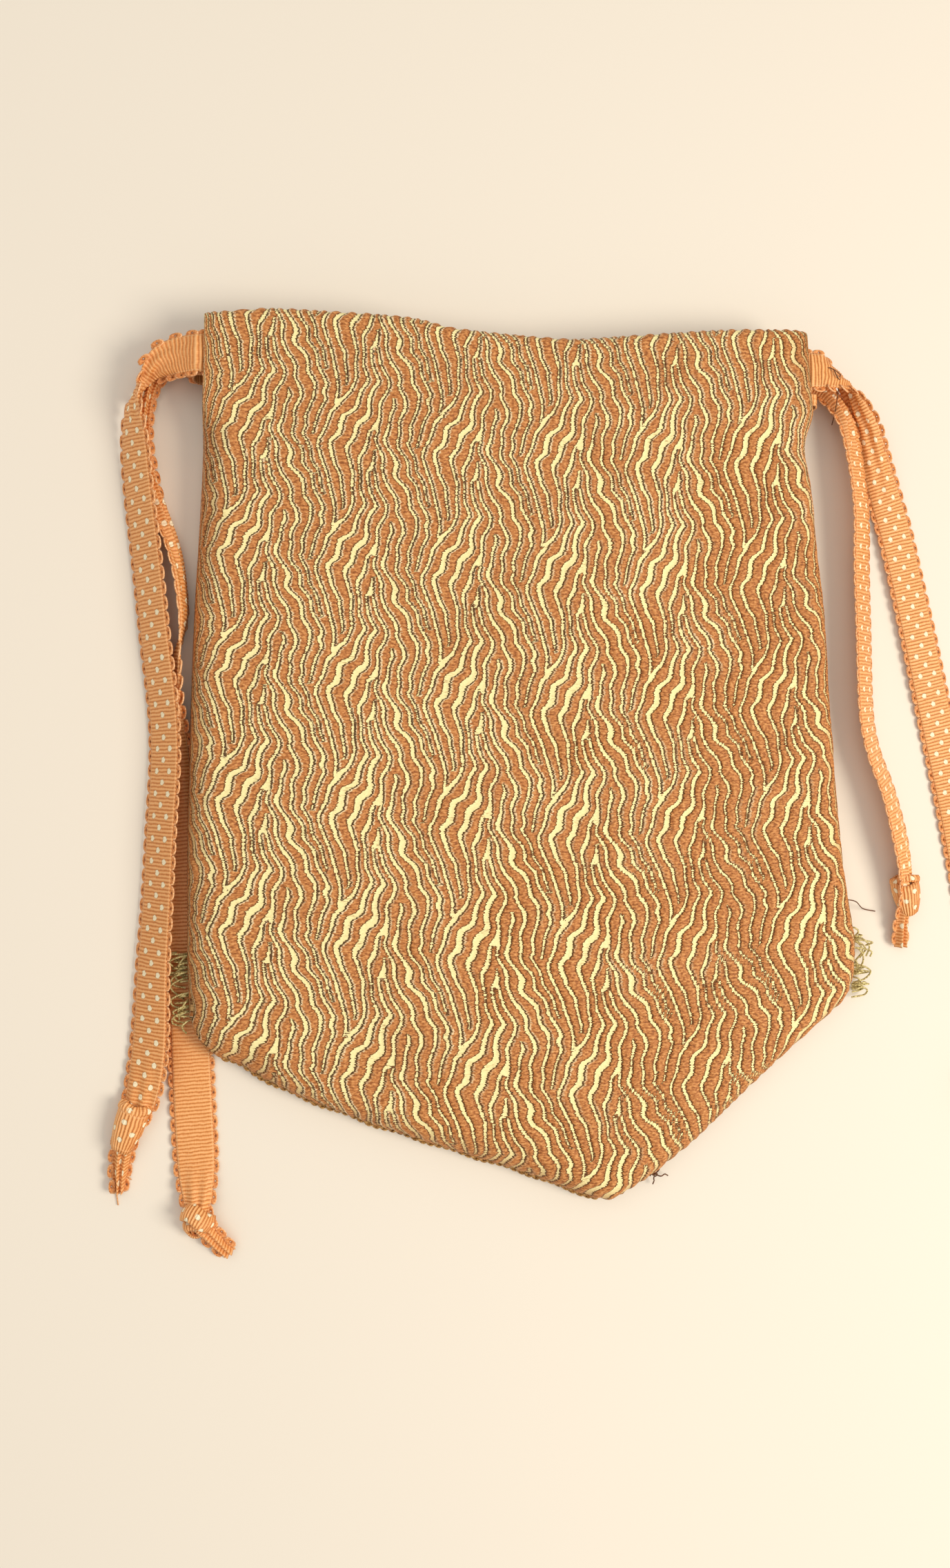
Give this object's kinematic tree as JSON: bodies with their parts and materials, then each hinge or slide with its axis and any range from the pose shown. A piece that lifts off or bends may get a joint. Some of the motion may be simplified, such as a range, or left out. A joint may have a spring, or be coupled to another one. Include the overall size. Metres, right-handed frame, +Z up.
{
  "type": "reticule",
  "caption": "Flat drawstring reticule of wavy striped brocade with a pointed lower edge, looped-edge ribbons drawn through casings at its mouth, and knotted ribbon ends.",
  "frame": {"origin": "on the surface the bag lies on, below the middle of the bag's own width and height, ribbons left out", "axes": "+Z up out of the front panel, shortest; +Y towards the mouth; +X to the right of the front panel"},
  "size_m": [0.2629, 0.2582, 0.0146],
  "materials": {
    "brocade": "silky brocade of orange warp with raised cream wavy stripes and olive shadow threads",
    "ribbon": "ribbed orange ribbon with looped edges, woven cream dots on one face",
    "thread": "loose golden sewing thread"
  },
  "bodies": {
    "root": {"front_panel": "brocade", "back_panel": "brocade", "ribbon_left": "ribbon", "ribbon_right": "ribbon", "tuft_left": "thread", "tuft_right": "thread"}
  },
  "joints": []
}
